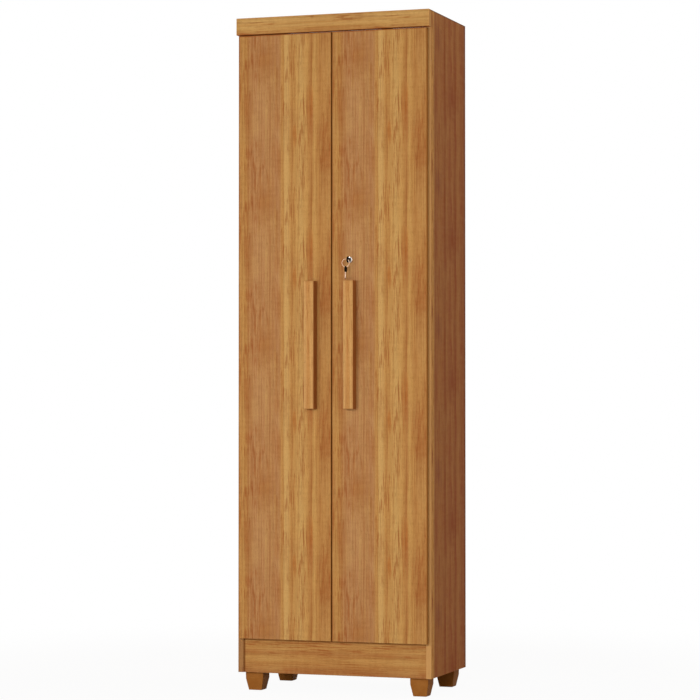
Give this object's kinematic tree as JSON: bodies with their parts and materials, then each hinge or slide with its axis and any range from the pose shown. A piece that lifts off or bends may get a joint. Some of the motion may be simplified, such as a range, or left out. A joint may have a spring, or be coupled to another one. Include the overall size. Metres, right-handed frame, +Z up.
{
  "type": "utility cabinet",
  "caption": "Tall narrow floor cabinet with a pair of hinged doors, bar handles, a key lock, a cornice, a plinth and tapered feet; shelves inside for household goods.",
  "frame": {"origin": "on the floor, midway across the width and midway between the handle fronts and the back", "axes": "+Z up, -Y to the front of the doors, +X to the right of someone facing the doors"},
  "size_m": [0.55, 0.37, 1.83],
  "materials": {
    "door_laminate": "satin wood-look laminate, upright grain",
    "side_laminate": "satin wood-look laminate, upright grain",
    "shelf_laminate": "satin wood-look laminate",
    "cross_grain_laminate": "satin wood-look laminate, level grain",
    "handle_wood": "satin lacquered wood",
    "hardboard": "smooth painted hardboard",
    "brown_plastic": "satin moulded plastic",
    "plated_steel": "nickel-plated pressed steel",
    "screw_steel": "zinc-plated steel",
    "cam_zinc": "bare zinc casting",
    "dowel_wood": "turned hardwood",
    "bumper_rubber": "soft clear rubber",
    "bolt_plastic": "moulded plastic",
    "bolt_steel": "zinc-plated steel",
    "lock_chrome": "polished chrome",
    "key_steel": "nickel-plated steel",
    "key_plastic": "black moulded plastic"
  },
  "bodies": {
    "carcass": {"side_panel_left": "side_laminate", "side_panel_right": "side_laminate", "top_panel": "shelf_laminate", "base_panel": "shelf_laminate", "fixed_shelf": "shelf_laminate", "adjustable_shelf_1": "shelf_laminate", "adjustable_shelf_2": "shelf_laminate", "adjustable_shelf_3": "shelf_laminate", "cornice": "cross_grain_laminate", "plinth_front": "cross_grain_laminate", "plinth_rear": "shelf_laminate", "back_panel_lower": "hardboard", "back_panel_upper": "hardboard", "back_joint_strip": "brown_plastic", "foot_front_left": "brown_plastic", "foot_front_right": "brown_plastic", "foot_rear_left": "brown_plastic", "foot_rear_right": "brown_plastic", "hinge_arms_left": "plated_steel", "hinge_arms_right": "plated_steel", "hinge_plates_left": "plated_steel", "hinge_plates_right": "plated_steel", "hinge_plate_screws": "screw_steel", "hinge_arm_screws": "screw_steel", "cam_fittings": "cam_zinc", "connecting_bolts": "screw_steel", "dowels": "dowel_wood", "shelf_pins": "plated_steel", "back_nails": "screw_steel", "foot_screws": "screw_steel", "cornice_brackets": "brown_plastic", "cornice_bracket_screws": "screw_steel"},
    "left_door": {"door_left": "door_laminate", "handle_left": "handle_wood", "handle_screws_left": "screw_steel", "hinge_cups_left": "plated_steel", "hinge_pins_left": "plated_steel", "hinge_cup_screws_left": "screw_steel", "door_bumpers_left": "bumper_rubber", "bolt_case": "bolt_plastic", "bolt_case_screws": "screw_steel", "strike_plate": "plated_steel"},
    "right_door": {"door_right": "door_laminate", "handle_right": "handle_wood", "handle_screws_right": "screw_steel", "hinge_cups_right": "plated_steel", "hinge_pins_right": "plated_steel", "hinge_cup_screws_right": "screw_steel", "door_bumpers_right": "bumper_rubber", "lock_housing": "lock_chrome", "lock_nut": "plated_steel"},
    "slide_bolt": {"slide_bolt": "bolt_steel"},
    "lock_plug": {"lock_plug": "lock_chrome", "lock_cam": "plated_steel", "lock_cam_screw": "screw_steel"},
    "key": {"key_blade": "key_steel", "key_bow": "key_plastic"},
    "key_ring": {"key_ring": "key_steel"},
    "spare_key": {"spare_key_blade": "key_steel", "spare_key_bow": "key_plastic"}
  },
  "joints": [
    {"name": "left_door_hinge", "type": "hinge", "parent": "carcass", "child": "left_door", "pos_m": [-0.2619, -0.1495, 0.96175], "axis": [0, 0, -1], "range_deg": [0, 95]},
    {"name": "right_door_hinge", "type": "hinge", "parent": "carcass", "child": "right_door", "pos_m": [0.2619, -0.1495, 0.96175], "axis": [0, 0, 1], "range_deg": [0, 95]},
    {"name": "slide_bolt_travel", "type": "slide", "parent": "left_door", "child": "slide_bolt", "axis": [0, 0, 1], "range_m": [0, 0.012]},
    {"name": "lock_turn", "type": "hinge", "parent": "right_door", "child": "lock_plug", "pos_m": [0.0515, -0.157, 1.16604], "axis": [0, 1, 0], "range_deg": [0, 90]},
    {"name": "key_pull", "type": "slide", "parent": "lock_plug", "child": "key", "axis": [0, -1, 0], "range_m": [0, 0.018]},
    {"name": "ring_swing", "type": "hinge", "parent": "key", "child": "key_ring", "pos_m": [0.0515, -0.1755, 1.16604], "axis": [-1, 0, 0], "range_deg": [-8, 60]},
    {"name": "spare_key_swing", "type": "hinge", "parent": "key_ring", "child": "spare_key", "pos_m": [0.0467, -0.1755, 1.1462], "axis": [-1, 0, 0], "range_deg": [-10, 45]}
  ]
}
